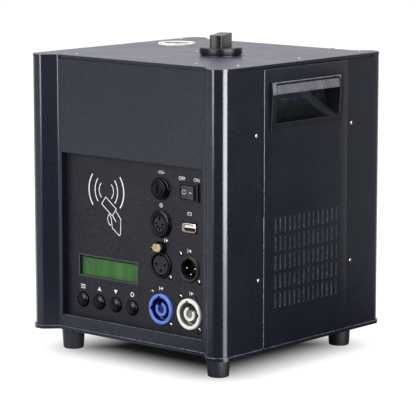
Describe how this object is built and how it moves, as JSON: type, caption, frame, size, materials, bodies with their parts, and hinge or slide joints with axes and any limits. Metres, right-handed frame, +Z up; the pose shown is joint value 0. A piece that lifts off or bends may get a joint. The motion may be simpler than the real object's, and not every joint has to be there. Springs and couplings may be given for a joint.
{
  "type": "cold spark machine",
  "caption": "Boxy stage effect machine that blows sparks from a nozzle in its lid, with a recessed control side, side handles, vents, a turning filler cap and feet.",
  "frame": {"origin": "on the floor, under the middle of the case", "axes": "+X to the right along the control side, +Y to the back (the control side faces -Y), +Z up"},
  "size_m": [0.2226, 0.2146, 0.2706],
  "materials": {
    "powder_coat": "fine-textured charcoal powder coat",
    "moulded_plastic": "moulded black plastic, satin",
    "gloss_black": "glossy black plastic",
    "blue_plastic": "blue connector plastic",
    "white_plastic": "white connector plastic",
    "clear_plastic": "clear",
    "display_green": "green character display",
    "circuit_board": "solder-masked board",
    "rubber": "moulded rubber",
    "steel": "brushed",
    "chrome": "plated",
    "contact_gold": "gold-plated contacts",
    "latch_metal": "die-cast, satin",
    "ceramic_white": "matt heat-proof ceramic"
  },
  "bodies": {
    "case": {"base_pan": "powder_coat", "top_lid": "powder_coat", "front_shell": "powder_coat", "rear_shell": "powder_coat", "right_side_panel": "powder_coat", "right_handle_cup": "moulded_plastic", "left_side_panel": "powder_coat", "left_handle_cup": "moulded_plastic", "foot_front_left": "rubber", "foot_front_right": "rubber", "foot_rear_left": "rubber", "foot_rear_right": "rubber", "control_panel": "powder_coat", "display_pane": "clear_plastic", "lcd_module": "display_green", "display_board": "circuit_board", "card_reader_board": "circuit_board", "power_in_socket": "blue_plastic", "power_out_socket": "white_plastic", "dmx_out_socket": "moulded_plastic", "dmx_in_socket": "moulded_plastic", "dmx_in_pins": "contact_gold", "controller_socket": "gloss_black", "usb_socket": "chrome", "fuse_holder": "moulded_plastic", "switch_housing": "gloss_black", "nozzle_ring": "ceramic_white", "nozzle_tube": "steel", "heating_tube": "steel", "heating_jacket": "ceramic_white", "blower_housing": "moulded_plastic", "blower_motor": "steel", "hopper": "steel", "filler_neck": "moulded_plastic", "feed_tube": "steel", "feed_motor": "steel", "cooling_fan_frame": "moulded_plastic", "power_supply": "steel", "main_board": "circuit_board"},
    "menu_key": {"menu_button": "gloss_black"},
    "up_key": {"up_button": "gloss_black"},
    "down_key": {"down_button": "gloss_black"},
    "enter_key": {"enter_button": "gloss_black"},
    "rocker": {"power_rocker": "gloss_black"},
    "latch": {"dmx_out_latch": "latch_metal"},
    "fuse": {"fuse_link": "clear_plastic"},
    "fuse_knob": {"fuse_cap": "moulded_plastic"},
    "plug": {"filler_plug": "rubber"},
    "cap": {"filler_cap": "moulded_plastic"},
    "auger": {"feed_auger": "steel"},
    "impeller": {"blower_impeller": "moulded_plastic"},
    "fan": {"cooling_fan_rotor": "moulded_plastic"}
  },
  "joints": [
    {"name": "menu_press", "type": "slide", "parent": "case", "child": "menu_key", "axis": [0, 1, 0], "range_m": [0, 0.0012], "stiffness_N_per_m": 400},
    {"name": "up_press", "type": "slide", "parent": "case", "child": "up_key", "axis": [0, 1, 0], "range_m": [0, 0.0012], "stiffness_N_per_m": 400},
    {"name": "down_press", "type": "slide", "parent": "case", "child": "down_key", "axis": [0, 1, 0], "range_m": [0, 0.0012], "stiffness_N_per_m": 400},
    {"name": "enter_press", "type": "slide", "parent": "case", "child": "enter_key", "axis": [0, 1, 0], "range_m": [0, 0.0012], "stiffness_N_per_m": 400},
    {"name": "power_switch", "type": "hinge", "parent": "case", "child": "rocker", "pos_m": [0.059, -0.087, 0.1497], "axis": [0, 0, 1], "range_deg": [0, 16]},
    {"name": "latch_press", "type": "slide", "parent": "case", "child": "latch", "axis": [0, 1, 0], "range_m": [0, 0.002], "stiffness_N_per_m": 400},
    {"name": "fuse_pull", "type": "slide", "parent": "case", "child": "fuse", "axis": [0, -1, 0], "range_m": [0, 0.036]},
    {"name": "fuse_turn", "type": "hinge", "parent": "fuse", "child": "fuse_knob", "pos_m": [0.028, -0.0885, 0.1497], "axis": [0, 1, 0], "range_deg": [0, 60]},
    {"name": "plug_lift", "type": "slide", "parent": "case", "child": "plug", "axis": [0, 0, 1], "range_m": [0, 0.03]},
    {"name": "cap_turn", "type": "hinge", "parent": "plug", "child": "cap", "pos_m": [0.026, -0.0118, 0.2543], "axis": [0, 0, 1], "range_deg": [0, 90]},
    {"name": "auger_spin", "type": "hinge", "parent": "case", "child": "auger", "pos_m": [0.026, -0.0118, 0.178], "axis": [-0.879, 0.4768, 0], "continuous": true},
    {"name": "impeller_spin", "type": "hinge", "parent": "case", "child": "impeller", "pos_m": [-0.0495, 0.04, 0.0528], "axis": [0, 1, 0], "continuous": true},
    {"name": "fan_spin", "type": "hinge", "parent": "case", "child": "fan", "pos_m": [0.095, 0.0011, 0.0905], "axis": [1, 0, 0], "continuous": true}
  ]
}
